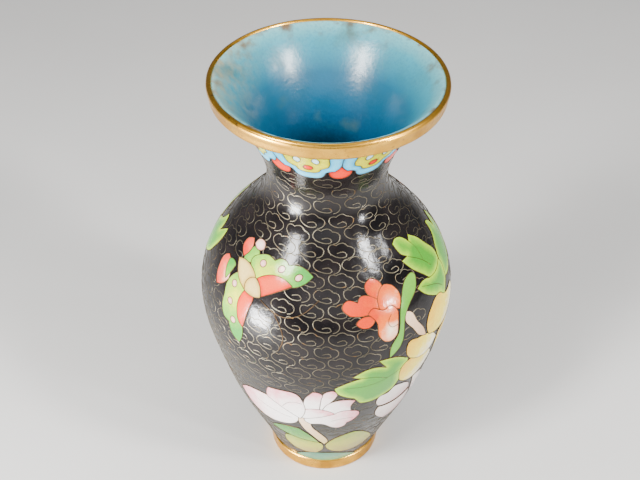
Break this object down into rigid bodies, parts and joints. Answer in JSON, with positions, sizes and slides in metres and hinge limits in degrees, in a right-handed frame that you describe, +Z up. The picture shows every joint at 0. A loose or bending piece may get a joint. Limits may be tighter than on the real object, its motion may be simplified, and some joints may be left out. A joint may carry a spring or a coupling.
{
  "type": "cloisonne vase",
  "caption": "Cloisonne enamel vase with a trumpet mouth, narrow neck, pear-shaped body and a small foot ring, decorated with a butterfly and flowers on black.",
  "frame": {"origin": "centre of the face that the foot ring stands on", "axes": "+Z up along the vase's axis, -Y towards the decorated front, +X to the right of the front"},
  "size_m": [0.087, 0.087, 0.16],
  "materials": {
    "bank": "sea green enamel",
    "turquoise": "turquoise enamel, glossy and slightly pitted",
    "copper": "raised copper sheet, satin",
    "cream": "cream enamel",
    "coral": "coral enamel",
    "white": "white enamel, pink towards the tips",
    "wing": "wing green enamel, yellower inside",
    "green": "leaf green enamel",
    "orange": "orange enamel, paler towards the tip",
    "brass": "polished gilt brass",
    "yellow": "yellow enamel",
    "black": "black cloisonne enamel, polished",
    "pale_blue": "pale blue enamel",
    "red": "red-orange enamel",
    "peach": "peach enamel"
  },
  "bodies": {
    "root": {"bank_enamel": "bank", "base_enamel": "turquoise", "base_plate": "copper", "butterfly_body_enamel": "cream", "butterfly_patch_enamel": "coral", "butterfly_plume_enamel": "coral", "butterfly_spot_enamel": "white", "butterfly_wing_enamel": "wing", "flower_leaf_enamel": "green", "flower_petal_enamel": "orange", "flower_stem_enamel": "cream", "foot_green_enamel": "green", "foot_ring": "brass", "foot_yellow_enamel": "yellow", "ground_enamel": "black", "inner_enamel": "turquoise", "lappet_blue_enamel": "pale_blue", "lappet_dot_enamel": "red", "lappet_pearl_enamel": "white", "lappet_red_enamel": "red", "lappet_yellow_enamel": "yellow", "lower_shell": "copper", "magnolia_petal_enamel": "white", "magnolia_stem_enamel": "peach", "mouth_rim": "brass", "neck_shell": "copper", "pale_flower_enamel": "white", "peony_leaf_enamel": "green", "peony_petal_enamel": "yellow", "shoulder_shell": "copper"}
  },
  "joints": []
}
